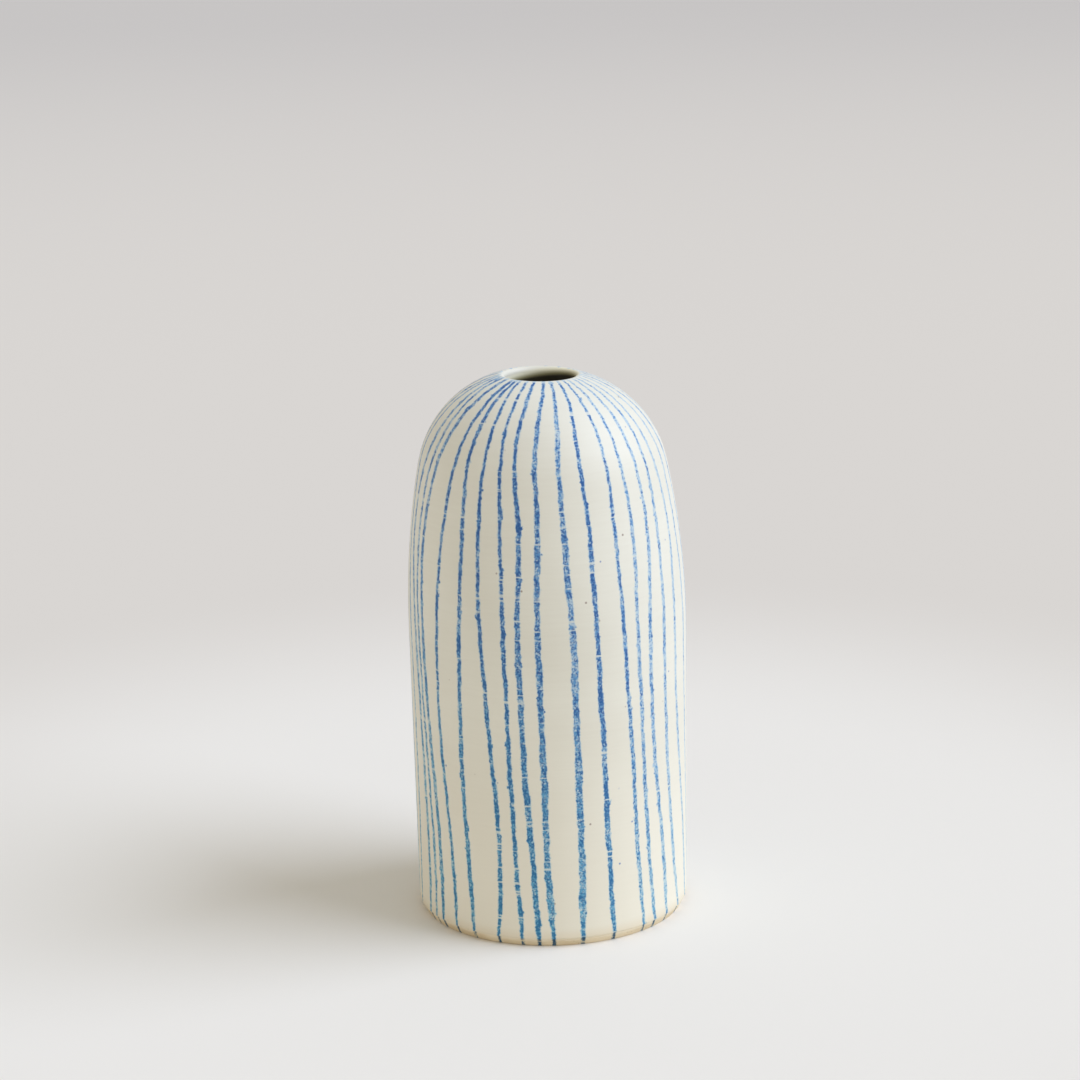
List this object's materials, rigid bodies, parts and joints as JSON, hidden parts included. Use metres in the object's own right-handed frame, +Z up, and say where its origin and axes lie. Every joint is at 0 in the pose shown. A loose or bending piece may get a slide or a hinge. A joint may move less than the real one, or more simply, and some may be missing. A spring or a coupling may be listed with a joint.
{
  "type": "bud vase",
  "caption": "Tall domed ceramic bud vase with a small round mouth, glazed inside and out over a bare clay foot, striped lengthwise with hand-drawn blue pencil lines",
  "frame": {"origin": "centre of the foot, on the surface that the vase stands on", "axes": "+Z up along the turning axis, out of the mouth; -Y is the side seen from the front; +X to the right"},
  "size_m": [0.066, 0.066, 0.13],
  "materials": {
    "bare_clay": "bare fired stoneware, sanded smooth and dry to the touch",
    "striped_glaze": "satin cream glaze with blue pencil stripes melted into it",
    "liner_glaze": "satin cream liner glaze"
  },
  "bodies": {
    "root": {"clay_body": "bare_clay", "outer_glaze": "striped_glaze", "liner_glaze": "liner_glaze"}
  },
  "joints": []
}
